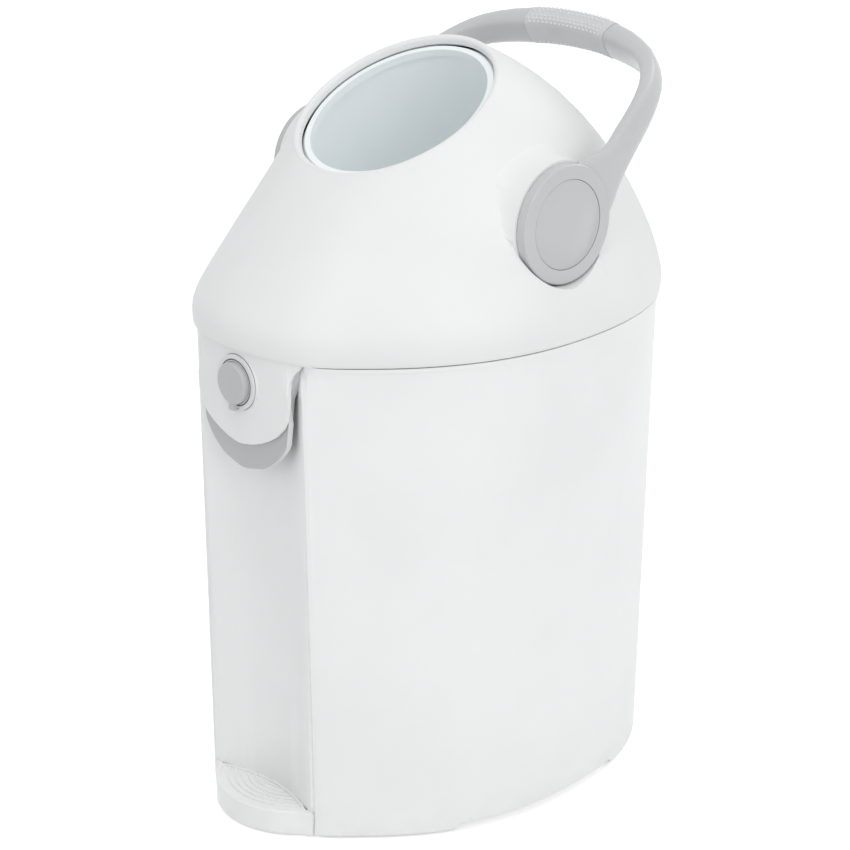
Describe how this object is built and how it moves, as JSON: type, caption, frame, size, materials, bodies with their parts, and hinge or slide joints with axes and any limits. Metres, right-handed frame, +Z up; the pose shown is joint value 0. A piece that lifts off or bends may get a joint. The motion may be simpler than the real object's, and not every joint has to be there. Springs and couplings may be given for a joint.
{
  "type": "nappy bin",
  "caption": "Free-standing nappy bin with a toe step, a latched hinged hood and a drum turned by a bow handle to drop each nappy into the tub.",
  "frame": {"origin": "on the floor at the centre of the footprint, between the toe step's front edge and the rear hinge barrel", "axes": "+Z up; -Y is the front with the toe step, tab and release button, +Y the rear hinge; X runs along the handle's axis between the two side discs"},
  "size_m": [0.3046, 0.392, 0.5728],
  "materials": {
    "white": "white moulded plastic, low sheen",
    "pale_grey": "light grey moulded plastic, low sheen",
    "cool_grey": "cool light grey moulded plastic",
    "soft_grip": "soft-touch light grey grip with small raised dots",
    "rubber": "matt black rubber",
    "bearing": "dark bearing plastic",
    "steel": "plain steel"
  },
  "bodies": {
    "bin": {"bin_body": "white", "foot_step": "white", "rubber_feet": "rubber", "latch_plate": "pale_grey", "plate_screws": "steel", "bag_ring": "pale_grey", "hinge_pin": "steel"},
    "hood": {"hood": "white", "hood_gasket": "rubber", "mouth_seal": "rubber", "bush_left": "bearing", "bush_right": "bearing", "button_bezel": "pale_grey", "latch_pin": "steel"},
    "button": {"release_button": "pale_grey", "button_spring": "steel"},
    "latch": {"latch_lever": "pale_grey"},
    "drum": {"drum_shell": "white", "drum_cup": "cool_grey", "axle_left": "steel", "axle_right": "steel", "axle_screws": "steel", "handle": "pale_grey", "grip_pad": "soft_grip", "disc_cap_left": "pale_grey", "disc_cap_right": "pale_grey", "hub_screws": "steel"},
    "piston": {"piston_plate": "cool_grey", "piston_weight": "steel", "piston_wiper": "rubber"}
  },
  "joints": [
    {"name": "hood_hinge", "type": "hinge", "parent": "bin", "child": "hood", "pos_m": [0, 0.19, 0.3815], "axis": [-1, 0, 0], "range_deg": [0, 75]},
    {"name": "drum_turn", "type": "hinge", "parent": "hood", "child": "drum", "pos_m": [0, 0.0107, 0.459], "axis": [1, 0, 0], "range_deg": [0, 135]},
    {"name": "piston_slide", "type": "slide", "parent": "drum", "child": "piston", "axis": [0, -0.4924, 0.8704], "range_m": [0, 0.129]},
    {"name": "button_press", "type": "slide", "parent": "hood", "child": "button", "axis": [0, 1, 0], "range_m": [0, 0.003], "stiffness_N_per_m": 400, "springref_m": -0.002, "deforming": ["button_spring"]},
    {"name": "latch_turn", "type": "hinge", "parent": "hood", "child": "latch", "pos_m": [0, -0.1725, 0.336], "axis": [-1, 0, 0], "range_deg": [0, 11]}
  ],
  "couplings": [
    {"joint": "latch_turn", "follows": "button_press", "rad_per_m": 62.8}
  ]
}
